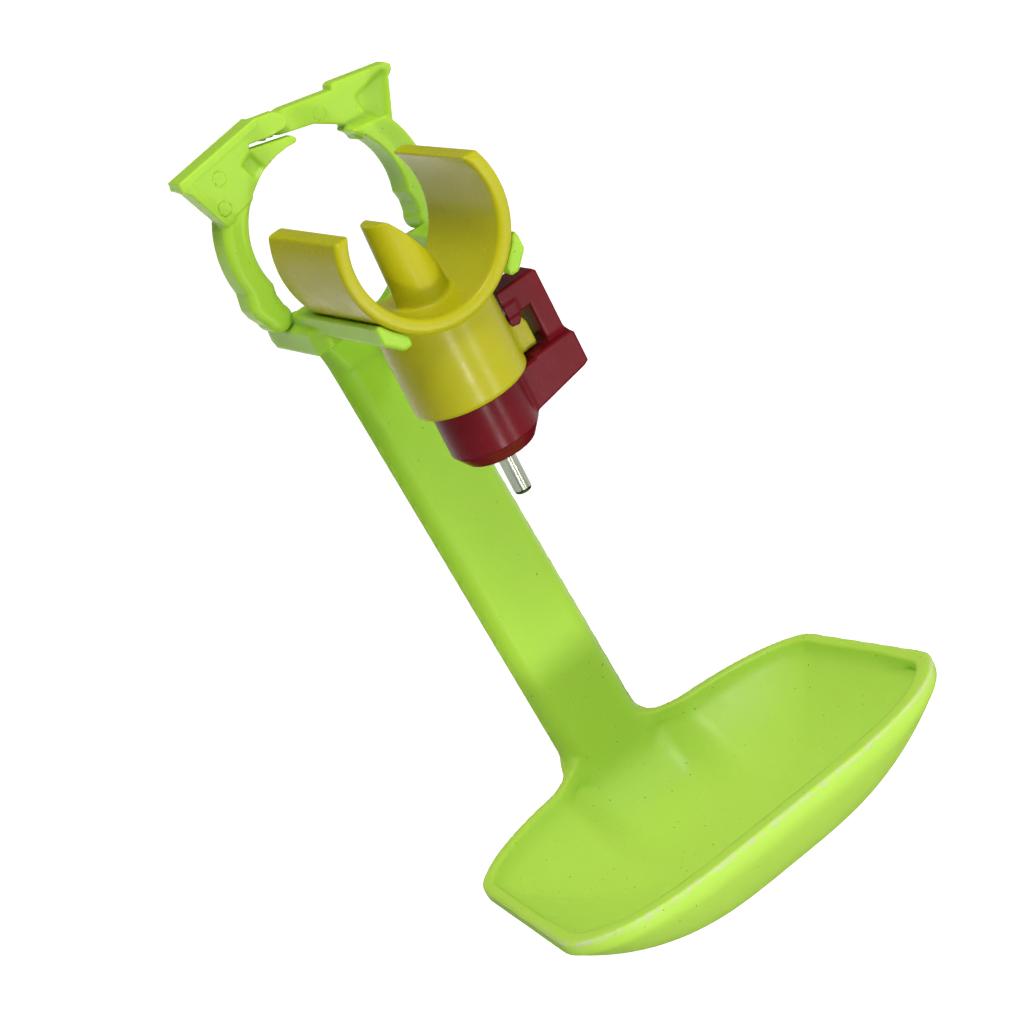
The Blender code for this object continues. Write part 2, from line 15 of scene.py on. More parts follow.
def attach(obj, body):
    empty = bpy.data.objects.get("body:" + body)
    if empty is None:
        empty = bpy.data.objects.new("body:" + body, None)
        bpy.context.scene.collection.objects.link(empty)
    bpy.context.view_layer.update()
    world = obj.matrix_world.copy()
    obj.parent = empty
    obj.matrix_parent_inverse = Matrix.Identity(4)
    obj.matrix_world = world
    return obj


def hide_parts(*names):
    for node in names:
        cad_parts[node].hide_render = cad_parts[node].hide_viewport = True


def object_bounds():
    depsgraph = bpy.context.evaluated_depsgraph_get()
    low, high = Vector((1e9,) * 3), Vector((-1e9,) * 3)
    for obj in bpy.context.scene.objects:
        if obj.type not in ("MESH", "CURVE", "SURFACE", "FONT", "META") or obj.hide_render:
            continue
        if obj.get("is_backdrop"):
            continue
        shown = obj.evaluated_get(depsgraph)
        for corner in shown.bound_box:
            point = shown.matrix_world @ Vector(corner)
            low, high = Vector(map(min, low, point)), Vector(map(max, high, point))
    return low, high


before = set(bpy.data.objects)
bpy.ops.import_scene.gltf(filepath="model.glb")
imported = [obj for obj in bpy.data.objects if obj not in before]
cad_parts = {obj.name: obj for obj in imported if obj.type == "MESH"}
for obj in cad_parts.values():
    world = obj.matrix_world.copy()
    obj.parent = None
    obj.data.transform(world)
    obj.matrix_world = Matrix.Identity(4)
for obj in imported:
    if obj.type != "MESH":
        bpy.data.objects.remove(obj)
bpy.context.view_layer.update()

MM = 0.001


# ------------------------------------------------------------------ distance fields

def smooth_min(a, b, blend):
    """Union of two fields with a fillet about as large as blend."""
    share = np.clip(0.5 + 0.5 * (b - a) / blend, 0.0, 1.0)
    return b + (a - b) * share - blend * share * (1.0 - share)


def smooth_max(a, b, blend):
    return -smooth_min(-a, -b, blend)


def carve(solid, tool, blend):
    """The solid less the tool, with the new edges rounded."""
    return smooth_max(solid, -tool, blend)


def circle(u, v, centre, radius):
    return np.hypot(u - centre[0], v - centre[1]) - radius


def polygon(u, v, points, rounding=0.0):
    """Signed distance to a closed outline, with its corners rounded outwards."""
    nearest = None
    inside = None
    count = len(points)
    for index in range(count):
        ax, ay = points[index]
        bx, by = points[(index + 1) % count]
        ex, ey = bx - ax, by - ay
        share = np.clip(((u - ax) * ex + (v - ay) * ey) / (ex * ex + ey * ey), 0.0, 1.0)
        squared = (u - ax - ex * share) ** 2 + (v - ay - ey * share) ** 2
        crosses = ((ay > v) != (by > v)) & (ex * (v - ay) < (u - ax) * ey if ey < 0.0
                                            else ex * (v - ay) > (u - ax) * ey)
        nearest = squared if nearest is None else np.minimum(nearest, squared)
        inside = crosses if inside is None else inside ^ crosses
    return np.where(inside, -1.0, 1.0) * np.sqrt(nearest) - rounding


def extruded(flat, along, low, high, rounding=0.0):
    """A flat field given a length along its third axis, with rounded rims."""
    side = flat + rounding
    end = np.abs(along - 0.5 * (low + high)) - 0.5 * (high - low) + rounding
    outside = np.sqrt(np.maximum(side, 0.0) ** 2 + np.maximum(end, 0.0) ** 2)
    return np.minimum(np.maximum(side, end), 0.0) + outside - rounding


# ------------------------------------------------------------------ meshing

CELL_CORNERS = [(0, 0, 0), (1, 0, 0), (0, 1, 0), (1, 1, 0), (0, 0, 1), (1, 0, 1), (0, 1, 1), (1, 1, 1)]
CELL_EDGES = [(0, 1), (2, 3), (4, 5), (6, 7), (0, 2), (1, 3), (4, 6), (5, 7), (0, 4), (1, 5), (2, 6),
              (3, 7)]


def field_gradient(field, points, reach):
    gradient = np.empty_like(points)
    for axis in range(3):
        ahead, behind = points.copy(), points.copy()
        ahead[:, axis] += reach
        behind[:, axis] -= reach
        gradient[:, axis] = (field(*ahead.T) - field(*behind.T)) / (2.0 * reach)
    return gradient


def net_vertices(values, low, step):
    """One vertex for each grid cell that the surface crosses."""
    inside = values < 0.0
    mixed = np.zeros([size - 1 for size in values.shape], np.uint8)
    for dx, dy, dz in CELL_CORNERS:
        mixed += inside[dx:dx + mixed.shape[0], dy:dy + mixed.shape[1], dz:dz + mixed.shape[2]]
    cells = np.argwhere((mixed > 0) & (mixed < 8))
    corner = np.stack([values[cells[:, 0] + dx, cells[:, 1] + dy, cells[:, 2] + dz]
                       for dx, dy, dz in CELL_CORNERS], 1).astype(float)
    total = np.zeros((len(cells), 3))
    crossings = np.zeros(len(cells))
    for first, second in CELL_EDGES:
        a, b = corner[:, first], corner[:, second]
        crossed = (a < 0.0) != (b < 0.0)
        share = np.where(crossed, a / np.where(crossed, a - b, 1.0), 0.0)
        start = np.array(CELL_CORNERS[first], float)
        run = np.array(CELL_CORNERS[second], float) - start
        total += crossed[:, None] * (start + share[:, None] * run)
        crossings += crossed
    points = (cells + total / crossings[:, None]) * step + np.array(low)
    index = np.full(mixed.shape, -1, np.int32)
    index[cells[:, 0], cells[:, 1], cells[:, 2]] = np.arange(len(cells))
    return points, index, inside


def net_quads(index, inside):
    """A quad around each grid edge that the surface crosses, facing outwards."""
    quads = []
    for axis in range(3):
        across = [other for other in range(3) if other != axis]
        here = np.moveaxis(inside, axis, 0)
        starts = here[:-1, 1:-1, 1:-1]
        ends = here[1:, 1:-1, 1:-1]
        table = np.moveaxis(index, axis, 0)
        crossed = np.argwhere(starts != ends)
        outwards = starts[crossed[:, 0], crossed[:, 1], crossed[:, 2]]
        i, j, k = crossed.T
        ring = np.stack([table[i, j, k], table[i, j + 1, k], table[i, j + 1, k + 1],
                         table[i, j, k + 1]], 1)
        flip = ~outwards if across != [0, 2] else outwards
        ring[flip] = ring[flip][:, ::-1]
        quads.append(ring)
    return np.concatenate(quads)


def mesh_object(name, points, faces, normals=None):
    mesh = bpy.data.meshes.new(name)
    mesh.vertices.add(len(points))
    mesh.vertices.foreach_set("co", (np.asarray(points) * MM).astype(np.float32).ravel())
    corners = faces.shape[1]
    mesh.loops.add(faces.size)
    mesh.loops.foreach_set("vertex_index", faces.astype(np.int32).ravel())
    mesh.polygons.add(len(faces))
    mesh.polygons.foreach_set("loop_start", np.arange(0, faces.size, corners, dtype=np.int32))
    mesh.update(calc_edges=True)
    mesh.validate()
    mesh.shade_smooth()
    if normals is not None:
        mesh.normals_split_custom_set_from_vertices(normals.tolist())
    obj = bpy.data.objects.new(name, mesh)
    bpy.context.scene.collection.objects.link(obj)
    return obj


def moulded(name, field, low, high, step):
    """Mesh the field's zero surface, with each vertex moved on to it and its exact normal kept."""
    axes = [np.arange(low[i], high[i] + step, step).astype(np.float32) for i in range(3)]
    shape = [len(axis) for axis in axes]
    grid = (axes[0][:, None, None], axes[1][None, :, None], axes[2][None, None, :])
    values = np.broadcast_to(field(*grid), shape)
    points, index, inside = net_vertices(values, low, step)
    faces = net_quads(index, inside)
    for _ in range(2):
        gradient = field_gradient(field, points, 0.1 * step)
        length = np.linalg.norm(gradient, axis=1) + 1e-9
        shift = np.clip(field(*points.T) / length, -0.4 * step, 0.4 * step)
        points -= gradient / length[:, None] * shift[:, None]
    gradient = field_gradient(field, points, 0.25 * step)
    normals = gradient / (np.linalg.norm(gradient, axis=1, keepdims=True) + 1e-9)
    return mesh_object(name, points, faces, normals)


def turned(name, profile, steps=96):
    """A closed turned piece from its profile of (radius, z), both ends on the axis."""
    bm = bmesh.new()
    rings = []
    for radius, z in profile:
        count = 1 if radius == 0.0 else steps
        rings.append([bm.verts.new((radius * math.cos(2.0 * math.pi * turn / steps) * MM,
                                    radius * math.sin(2.0 * math.pi * turn / steps) * MM, z * MM))
                      for turn in range(count)])
    for upper, lower in zip(rings, rings[1:]):
        for turn in range(steps):
            after = (turn + 1) % steps
            corners = [upper[turn % len(upper)], lower[turn % len(lower)],
                       lower[after % len(lower)], upper[after % len(upper)]]
            bm.faces.new(list(dict.fromkeys(corners)))
    bmesh.ops.recalc_face_normals(bm, faces=bm.faces[:])
    mesh = bpy.data.meshes.new(name)
    bm.to_mesh(mesh)
    bm.free()
    mesh.shade_smooth()
    mesh.set_sharp_from_angle(angle=math.radians(40.0))
    obj = bpy.data.objects.new(name, mesh)
    bpy.context.scene.collection.objects.link(obj)
    return obj


# ------------------------------------------------------------------ yellow saddle

SADDLE_BORE = 12.6
SADDLE_RADIUS = 15.0
SADDLE_HALF = 11.4
SADDLE_TIP_Z = 6.4
STEM_RADIUS = 9.55
STEM_BOTTOM = -28.75


def saddle_field(x, y, z):
    ring = np.maximum(circle(x, z, (0.0, 0.0), SADDLE_RADIUS), -circle(x, z, (0.0, 0.0), SADDLE_BORE))
    ring = smooth_max(ring, z - SADDLE_TIP_Z, 0.5)
    shell = extruded(ring, y, -SADDLE_HALF, SADDLE_HALF, 0.85)
    stem_flat = circle(x, y, (0.0, 0.0), STEM_RADIUS)
    stem = extruded(stem_flat, z, STEM_BOTTOM, 0.0, 0.8)
    stem = np.maximum(stem, 13.6 - np.hypot(x, z))
    body = smooth_min(shell, stem, 0.7)
    lug_outline = [(9.0, -27.9), (12.3, -27.9), (12.3, -24.3), (11.75, -22.9), (9.0, -22.9)]
    lug = extruded(polygon(x, z, lug_outline, 0.4), y, -1.8, 1.8, 0.4)
    body = smooth_min(body, lug, 0.7)
    taper = 4.4 - 0.7 * np.clip((z + 12.5) / 15.1, -0.2, 1.2)
    spout = (np.hypot(x, y) - taper) * 0.999
    spout = np.maximum(spout, -14.2 - z)
    spout = smooth_max(spout, z - 2.6 + 0.12 * (x + 3.7), 0.25)
    slope_x, slope_z = 0.902, 0.431
    slant = (x + 1.35) * slope_x + (z - 2.5) * slope_z
    slant = slant + 0.012 * (z + 4.0) ** 2 - 0.45
    spout = smooth_max(spout, slant, 0.35)
    body = smooth_min(body, spout, 0.9)
    body = carve(body, np.maximum(circle(x, y, (0.0, 0.0), 2.1), z - 0.4), 0.3)
    socket = np.maximum(circle(x, y, (0.0, 0.0), 7.1), z + 15.4)
    return carve(body, socket, 0.3)


# ------------------------------------------------------------------ red nipple body

def nipple_field(x, y, z):
    radius = np.hypot(x, y)
    profile = [(4.55, -16.15), (6.5, -16.15), (6.5, -19.4), (5.25, -19.4), (5.25, -21.0), (6.5, -21.0),
               (6.5, -29.3), (7.25, -29.3), (7.25, -36.9), (5.65, -39.15), (2.95, -39.15),
               (2.95, -38.85), (4.55, -38.85)]
    body = polygon(radius, z, profile, 0.25)
    plate_outline = [(9.3, -17.55), (16.7, -17.55), (17.05, -17.95), (17.05, -31.5), (14.25, -31.5),
                     (14.25, -21.55), (9.3, -21.55)]
    plate = extruded(polygon(x, z, plate_outline, 0.35), y, -3.0, 2.6, 0.35)
    nub_outline = [(9.5, -20.0), (11.7, -20.0), (11.45, -22.6), (10.85, -23.25), (9.5, -22.9)]
    nub = extruded(polygon(x, z, nub_outline, 0.3), y, -3.0, -2.1, 0.3)
    plate = smooth_min(plate, nub, 0.5)
    shoulder_outline = [(5.2, -29.4), (10.1, -29.4), (10.3, -29.0), (17.3, -29.0), (17.6, -29.4),
                        (17.6, -34.2), (16.9, -34.5), (5.2, -36.3)]
    shoulder = extruded(polygon(x, z, shoulder_outline, 0.4), y, -4.3, 4.0, 0.4)
    plate = smooth_min(plate, shoulder, 1.1)
    room = np.maximum(radius - 9.9, -29.05 - z)
    plate = carve(plate, room, 0.25)
    plate = np.maximum(plate, 4.6 - radius)
    return smooth_min(body, plate, 0.7)


# ------------------------------------------------------------------ green hanger

ARM_RIM_Y = 16.1
ARM_LEAN = 0.132
CUP_RIM_Z = -101.1
CUP_CENTRE_Y = -18.0
CUP_DEPTH = 15.0
CUP_WALL = 1.8
CUP_POWER = 3.0              # how steeply the bowl's wall rises towards the rim
POWER_AT_ARM = 1.8           # steeper by this much behind the arm's foot
REACH_AT_ARM = 3.5           # and the rim runs this far back there, into the arm
LIP_WIDTH = 3.0              # along the front
LIP_WIDTH_BACK = 1.6         # along the ends and the back
BACK_HALF, BACK_Y, BACK_BULGE = 36.0, 4.5, 11.3
FRONT_HALF, FRONT_Y, FRONT_BULGE = 39.0, -23.8, 11.5


def rim_points():
    """Plan of the rim as (x, y), all round: bulging back, flared ends and a nearly straight front."""
    turn = np.linspace(0.0, math.pi, 361)
    back_x = BACK_HALF * np.cos(turn)
    back_y = BACK_Y + BACK_BULGE * (1.0 - np.abs(np.cos(turn)) ** 2.6) ** (2.0 / 3.0)
    front_x = -FRONT_HALF * np.cos(turn)
    front_y = FRONT_Y - FRONT_BULGE * (1.0 - np.abs(np.cos(turn)) ** 4.0) ** (1.0 / 1.6)
    end_x = np.linspace(BACK_HALF, FRONT_HALF, 60)
    end_y = np.linspace(BACK_Y, FRONT_Y, 60)
    return (np.concatenate([back_x, front_x, end_x, -end_x]),
            np.concatenate([back_y, front_y, end_y, end_y]))


def rim_radius_table():
    """Distance from the cup's centre to its rim for each direction, softened at the corners."""
    x, y = rim_points()
    angle = np.arctan2(y - CUP_CENTRE_Y, x)
    reach = np.hypot(x, y - CUP_CENTRE_Y)
    order = np.argsort(angle)
    at = np.linspace(-math.pi, math.pi, 1441)
    found = np.interp(at, angle[order], reach[order], period=2.0 * math.pi)
    kernel = np.hanning(25)
    padded = np.concatenate([found[-25:-1], found, found[1:25]])
    smooth = np.convolve(padded, kernel / kernel.sum(), "same")[24:-24]
    return at, smooth, np.gradient(smooth, at)


RIM_ANGLE, RIM_REACH, RIM_SLOPE = rim_radius_table()


def cup_field(x, y, z):
    """Thin bowl hanging from its rim, with a flat lip inside the rim."""
    rho = np.hypot(x, y - CUP_CENTRE_Y) + 1e-6
    angle = np.arctan2(y - CUP_CENTRE_Y, x + 0.0 * y)
    reach = np.interp(angle, RIM_ANGLE, RIM_REACH)
    slope = np.interp(angle, RIM_ANGLE, RIM_SLOPE)
    at_arm = 0.5 - 0.5 * np.cos(math.pi * np.clip((15.0 - np.abs(x)) / 9.0, 0.0, 1.0))
    at_arm = at_arm * (0.5 - 0.5 * np.cos(math.pi * np.clip((y + 8.0) / 20.0, 0.0, 1.0)))
    reach = reach + REACH_AT_ARM * at_arm
    share = rho / reach
    share_rate = np.sqrt(1.0 + (slope / reach) ** 2) / reach
    edge = (share - 1.0) / share_rate
    depth = CUP_DEPTH - 0.5 * CUP_WALL
    power = CUP_POWER + POWER_AT_ARM * at_arm
    sheet = z - CUP_RIM_Z + depth * (1.0 - np.minimum(share, 1.3) ** power)
    fall = depth * power * np.minimum(share, 1.3) ** (power - 1.0) * share_rate
    rate = np.sqrt(1.0 + fall ** 2)
    wall = np.abs((sheet + 0.9 * share ** 6) / rate) - 0.5 * CUP_WALL
    front = np.clip((-14.0 - y) / 12.0, 0.0, 1.0)
    lip_width = LIP_WIDTH_BACK + (LIP_WIDTH - LIP_WIDTH_BACK) * front
    lip = np.maximum(np.maximum(edge + 0.2, -edge - lip_width), -(z - CUP_RIM_Z) - 1.1)
    cup = smooth_min(wall, lip, 2.2)
    cup = smooth_max(cup, z - CUP_RIM_Z, 0.6)
    return smooth_max(cup, edge, 0.5)


def arm_section(x, depth):
    """Flat bar whose front edges are well rounded; depth runs back from its front face."""
    half_width, thickness = 8.0, 4.0
    radius = np.where(depth < 2.2, 3.4, 1.4)
    side = np.abs(x) - half_width + radius
    front = np.where(depth < 2.2, radius - depth, depth - thickness + radius)
    corner = np.sqrt(np.maximum(side, 0.0) ** 2 + np.maximum(front, 0.0) ** 2) - radius
    return np.minimum(np.maximum(side, front), 0.0) + corner


def hanger_field(x, y, z):
    depth = (y - ARM_RIM_Y - ARM_LEAN * (z - CUP_RIM_Z)) / math.sqrt(1.0 + ARM_LEAN ** 2)
    arm = arm_section(x, depth)
    arm = smooth_max(arm, np.abs(z + 63.9) - 44.2, 0.6)
    heel_outline = [(17.2, -105.4), (19.0, -103.2), (18.7, -106.6), (16.2, -109.0), (13.0, -111.0),
                    (12.8, -110.6), (15.2, -108.2)]
    heel = extruded(polygon(y, z, heel_outline, 0.9), x, -8.8, 8.8, 1.6)
    cup = smooth_min(cup_field(x, y, z), heel, 2.0)
    fillet = 0.8 + 2.8 * np.clip((z + 105.5) / 3.0, 0.0, 1.0) * np.clip((np.abs(x) - 4.5) / 3.0, 0.0, 1.0)
    low_part = smooth_min(cup, arm, fillet)

    across = np.abs(x)
    plan = polygon(across, y, [(0.0, 9.8), (13.0, 9.8), (14.2, 12.4), (14.2, 26.6), (12.9, 29.4), (9.6, 30.6),
                               (0.0, 30.6)], 0.8)
    profile = polygon(y, z, [(9.0, -10.9), (9.0, -12.8), (13.0, -14.2), (30.4, -14.2), (30.4, -12.9),
                             (27.0, -11.8), (23.6, -10.9)], 0.7)
    top_part = smooth_max(plan, profile + 0.0 * x, 0.8)
    rail_outline = [(9.0, -8.4), (9.0, -13.1), (11.1, -13.1), (13.4, -10.85), (13.4, -8.4)]
    rail = extruded(polygon(across, z, rail_outline, 0.4), y, -10.9, 17.4, 0.5)
    top_part = smooth_min(top_part, rail, 0.6)
    slot = across - 9.9 + 0.25 * np.maximum(-9.2 - y, 0.0)
    top_part = carve(top_part, slot, 0.6)
    yoke_outline = [(0.0, -19.5), (5.5, -19.2), (8.3, -17.9), (9.8, -15.4), (10.3, -12.9), (13.2, -12.9),
                    (13.4, -14.4), (12.7, -15.8), (11.1, -17.3), (7.4, -20.1), (6.0, -24.0), (0.0, -24.0)]
    yoke = extruded(polygon(across, z, yoke_outline, 0.4), depth, 0.0, 3.8, 1.1)
    top_part = smooth_min(top_part, yoke, 1.2)
    saddle_room = np.maximum(circle(x, z, (0.0, 0.0), 15.12), y - 11.6)
    top_part = carve(top_part, saddle_room, 0.3)
    seat = np.maximum(circle(across, z, (15.2, -8.1), 2.45), np.abs(y - 20.8) - 3.3)
    top_part = carve(top_part, seat, 0.25)
    return smooth_min(top_part, low_part, 1.6)


# ------------------------------------------------------------------ green clamp jaws

JAW_FRONT = 17.8
JAW_BACK = 23.8
PLATE_BACK = 20.2
TONGUE_FRONT = 20.5


def arc(centre, radius, start, end, steps):
    angles = np.radians(np.linspace(start, end, steps + 1))
    return [(centre[0] + radius * math.cos(a), centre[1] + radius * math.sin(a)) for a in angles]


def shrunk_band(side):
    """Outline of a jaw's band, drawn for the left jaw; side -1 mirrors it."""
    inner = arc((-1.2, 0.9), 13.05, 133.0, 197.0, 16)
    end = arc((-15.2, -8.1), 2.0, 40.0, -180.0, 14)
    bulge = [(-18.1, -6.4), (-18.5, -4.9), (-18.2, -3.3)]
    outer = arc((-1.2, 0.9), 17.0, 190.0, 150.0, 10)
    outline = inner + [(-14.0, -4.6)] + end + bulge + outer
    return [(side * px, pz) for px, pz in outline]


def left_jaw_field(x, y, z):
    band = extruded(polygon(x, z, shrunk_band(1), 0.3), y, JAW_FRONT, JAW_BACK, 1.5)
    plate_outline = [(-15.9, 9.6), (-18.4, 16.3), (-19.35, 17.3), (-19.35, 18.45), (-3.85, 20.5),
                     (-0.65, 19.85), (0.45, 19.0), (0.7, 18.1), (0.35, 17.45), (-0.4, 17.2),
                     (-3.0, 17.4), (-6.7, 18.15), (-7.3, 17.2), (-6.8, 16.85), (0.25, 15.05), (0.55, 14.6),
                     (0.3, 14.35)] + arc((-1.17, 1.08), 13.35, 84.0, 134.0, 14)
    plate = extruded(polygon(x, z, plate_outline, 0.3), y, JAW_FRONT, PLATE_BACK, 0.3)
    top = extruded(polygon(x, z, [(-19.35, 17.5), (-19.35, 18.4), (-4.1, 20.45), (-4.25, 19.85),
                                  (-17.9, 17.9)], 0.3), y, JAW_FRONT, 22.4, 0.3)
    side_wall = extruded(polygon(x, z, [(-15.7, 9.4), (-18.35, 16.2), (-19.35, 17.4), (-18.1, 17.4),
                                        (-17.3, 15.5), (-14.6, 9.2)], 0.3), y, JAW_FRONT, 22.4, 0.3)
    jaw = smooth_min(smooth_min(plate, band, 0.8), smooth_min(top, side_wall, 0.5), 0.4)
    pocket = extruded(polygon(x, z, [(-8.6, 15.5), (-7.9, 13.4), (-6.6, 13.9), (-7.3, 16.1)], 0.35),
                      y, JAW_FRONT - 1.0, JAW_FRONT + 0.8, 0.6)
    jaw = carve(jaw, pocket, 0.9)
    for centre in ((-14.9, 11.5), (-13.4, 15.9)):
        pin_mark = np.maximum(np.abs(circle(x, z, centre, 1.15)) - 0.09, y - JAW_FRONT - 0.08)
        jaw = carve(jaw, pin_mark, 0.12)
    return jaw


def right_jaw_field(x, y, z):
    band = extruded(polygon(x, z, shrunk_band(-1), 0.3), y, JAW_FRONT, JAW_BACK, 0.5)
    teeth = [(-3.6, 16.85), (-2.75, 16.45), (-2.5, 16.75), (-1.5, 16.3), (-1.2, 16.55), (-0.3, 16.0)]
    tongue_outline = ([(17.4, 7.3), (20.4, 14.1), (21.3, 14.7), (21.5, 15.35), (21.0, 15.85), (15.75, 16.9),
                       (11.9, 17.7), (11.35, 17.6), (11.0, 16.8), (2.3, 18.6), (-2.5, 18.4), (-3.6, 17.6)]
                      + teeth + [(2.2, 15.3), (5.8, 14.4), (10.3, 11.6), (11.3, 10.3), (11.2, 8.4)])
    tongue = extruded(polygon(x, z, tongue_outline, 0.3), y, TONGUE_FRONT, JAW_BACK, 0.35)
    jaw = smooth_min(tongue, band, 0.8)
    recess = extruded(polygon(x, z, [(14.6, 13.6), (19.6, 14.6), (16.9, 9.2), (14.9, 11.2)], 0.5),
                      y, TONGUE_FRONT - 1.0, TONGUE_FRONT + 0.5, 0.4)
    jaw = carve(jaw, recess, 1.0)
    for centre in ((7.3, 14.9), (14.2, 12.1)):
        pin_mark = np.maximum(np.abs(circle(x, z, centre, 1.1)) - 0.09, y - TONGUE_FRONT - 0.08)
        jaw = carve(jaw, pin_mark, 0.12)
    return jaw


# ------------------------------------------------------------------ materials

BLACK = (0.0, 0.0, 0.0)
WHITE = (1.0, 1.0, 1.0)


def node(tree, kind, **values):
    made = tree.nodes.new(kind)
    for name, value in values.items():
        setattr(made, name, value)
    return made


def ramp(tree, source, stops):
    """Colour ramp from (position, colour) stops."""
    made = node(tree, "ShaderNodeValToRGB")
    elements = made.color_ramp.elements
    while len(elements) < len(stops):
        elements.new(1.0)
    for element, (position, colour) in zip(elements, stops):
        element.position = position
        element.color = (*colour, 1.0)
    tree.links.new(source, made.inputs["Fac"])
    return made.outputs["Color"]


def noise(tree, coordinates, scale, detail=3.0, roughness=0.5):
    made = node(tree, "ShaderNodeTexNoise")
    made.inputs["Scale"].default_value = scale
    made.inputs["Detail"].default_value = detail
    made.inputs["Roughness"].default_value = roughness
    tree.links.new(coordinates, made.inputs["Vector"])
    return made.outputs["Fac"]


def mix_colour(tree, share, a, b):
    made = node(tree, "ShaderNodeMix", data_type="RGBA")
    for value, socket in ((share, made.inputs["Factor"]), (a, made.inputs[6]), (b, made.inputs[7])):
        if isinstance(value, tuple):
            socket.default_value = (*value, 1.0)
        elif isinstance(value, float):
            socket.default_value = value
        else:
            tree.links.new(value, socket)
    return made.outputs[2]


def fresh_material(name):
    made = bpy.data.materials.new(name)
    made.use_nodes = True
    tree = made.node_tree
    shader = tree.nodes["Principled BSDF"]
    coordinates = node(tree, "ShaderNodeTexCoord").outputs["Object"]
    return made, tree, shader, coordinates


def plastic(name, light, dark, specks, scatter, roughness, scatter_depth, flash=None, shine=0.22,
            painted_shade_by_z=None):
    """Moulded plastic: cloudy colour, fine specks, a slightly uneven gloss and a faint skin texture; an
    optional colour ramp by height paints shade and light into the colour.
    """
    made, tree, shader, at = fresh_material(name)
    cloud = noise(tree, at, 45.0, 4.0, 0.55)
    colour = ramp(tree, cloud, [(0.35, dark), (0.65, light)])
    # Painted shade and light: the colour is darkened by height on the arm's top, where the saddle shades it,
    # and paled on the cup below.
    if painted_shade_by_z:
        height = node(tree, "ShaderNodeSeparateXYZ")
        tree.links.new(at, height.inputs[0])
        share = node(tree, "ShaderNodeMapRange")
        share.inputs["From Min"].default_value = -0.12
        share.inputs["From Max"].default_value = 0.02
        tree.links.new(height.outputs["Z"], share.inputs["Value"])
        colour = mix_colour(tree, 0.75, colour, ramp(tree, share.outputs["Result"], painted_shade_by_z))
    spots = ramp(tree, noise(tree, at, 1700.0, 1.0), [(0.755, BLACK), (0.79, WHITE)])
    colour = mix_colour(tree, spots, colour, specks)
    if flash:
        mark = node(tree, "ShaderNodeAttribute", attribute_name="flash").outputs["Fac"]
        torn = node(tree, "ShaderNodeMath", operation="MULTIPLY")
        tree.links.new(mark, torn.inputs[0])
        ragged = ramp(tree, noise(tree, at, 1100.0, 4.0, 0.7), [(0.42, BLACK), (0.56, WHITE)])
        tree.links.new(ragged, torn.inputs[1])
        colour = mix_colour(tree, torn.outputs[0], colour, flash)
    tree.links.new(colour, shader.inputs["Base Color"])
    gloss = ramp(tree, noise(tree, at, 260.0, 5.0, 0.65),
                 [(0.3, (roughness - 0.05,) * 3), (0.7, (roughness + 0.07,) * 3)])
    tree.links.new(gloss, shader.inputs["Roughness"])
    shader.inputs["Subsurface Weight"].default_value = scatter
    shader.inputs["Subsurface Radius"].default_value = (0.8, 1.0, 0.25)
    shader.inputs["Subsurface Scale"].default_value = scatter_depth
    shader.inputs["IOR"].default_value = 1.49
    shader.inputs["Specular IOR Level"].default_value = shine
    skin = node(tree, "ShaderNodeBump")
    skin.inputs["Strength"].default_value = 0.25
    skin.inputs["Distance"].default_value = 0.00006
    tree.links.new(noise(tree, at, 1400.0, 2.0), skin.inputs["Height"])
    waves = node(tree, "ShaderNodeBump")
    waves.inputs["Strength"].default_value = 0.3
    waves.inputs["Distance"].default_value = 0.0002
    tree.links.new(noise(tree, at, 130.0, 2.0), waves.inputs["Height"])
    tree.links.new(skin.outputs["Normal"], waves.inputs["Normal"])
    tree.links.new(waves.outputs["Normal"], shader.inputs["Normal"])
    return made


def steel(name):
    """Drawn and polished steel with fine marks along Z."""
    made, tree, shader, at = fresh_material(name)
    stretch = node(tree, "ShaderNodeMapping")
    stretch.inputs["Scale"].default_value = (1.0, 1.0, 0.04)
    tree.links.new(at, stretch.inputs["Vector"])
    grain = noise(tree, stretch.outputs["Vector"], 5000.0, 3.0)
    tree.links.new(ramp(tree, grain, [(0.3, (0.19, 0.21, 0.16)), (0.7, (0.33, 0.36, 0.28))]),
                   shader.inputs["Base Color"])
    tree.links.new(ramp(tree, grain, [(0.3, (0.10,) * 3), (0.7, (0.19,) * 3)]), shader.inputs["Roughness"])
    shader.inputs["Metallic"].default_value = 1.0
    bump = node(tree, "ShaderNodeBump")
    bump.inputs["Strength"].default_value = 0.15
    bump.inputs["Distance"].default_value = 0.00002
    tree.links.new(grain, bump.inputs["Height"])
    tree.links.new(bump.outputs["Normal"], shader.inputs["Normal"])
    return made


def rubber(name):
    made, tree, shader, at = fresh_material(name)
    tree.links.new(ramp(tree, noise(tree, at, 700.0), [(0.3, (0.012,) * 3), (0.7, (0.03,) * 3)]),
                   shader.inputs["Base Color"])
    tree.links.new(ramp(tree, noise(tree, at, 2000.0), [(0.3, (0.55,) * 3), (0.7, (0.75,) * 3)]),
                   shader.inputs["Roughness"])
    return made


# ------------------------------------------------------------------ build

def mark_flash(obj):
    """Mark the thin torn line left by the mould along the outer edge of the cup's front rim."""
    count = len(obj.data.vertices)
    place = np.empty(3 * count, np.float32)
    obj.data.vertices.foreach_get("co", place)
    x, y, z = place.reshape(-1, 3).T / MM
    reach = np.interp(np.arctan2(y - CUP_CENTRE_Y, x), RIM_ANGLE, RIM_REACH)
    below_edge = np.hypot(np.hypot(x, y - CUP_CENTRE_Y) - reach, z - CUP_RIM_Z + 0.3)
    share = np.clip(1.3 - below_edge / 0.6, 0.0, 1.0) * np.clip((-12.0 - y) / 8.0, 0.0, 1.0)
    layer = obj.data.attributes.new("flash", "FLOAT", "POINT")
    layer.data.foreach_set("value", share.astype(np.float32))


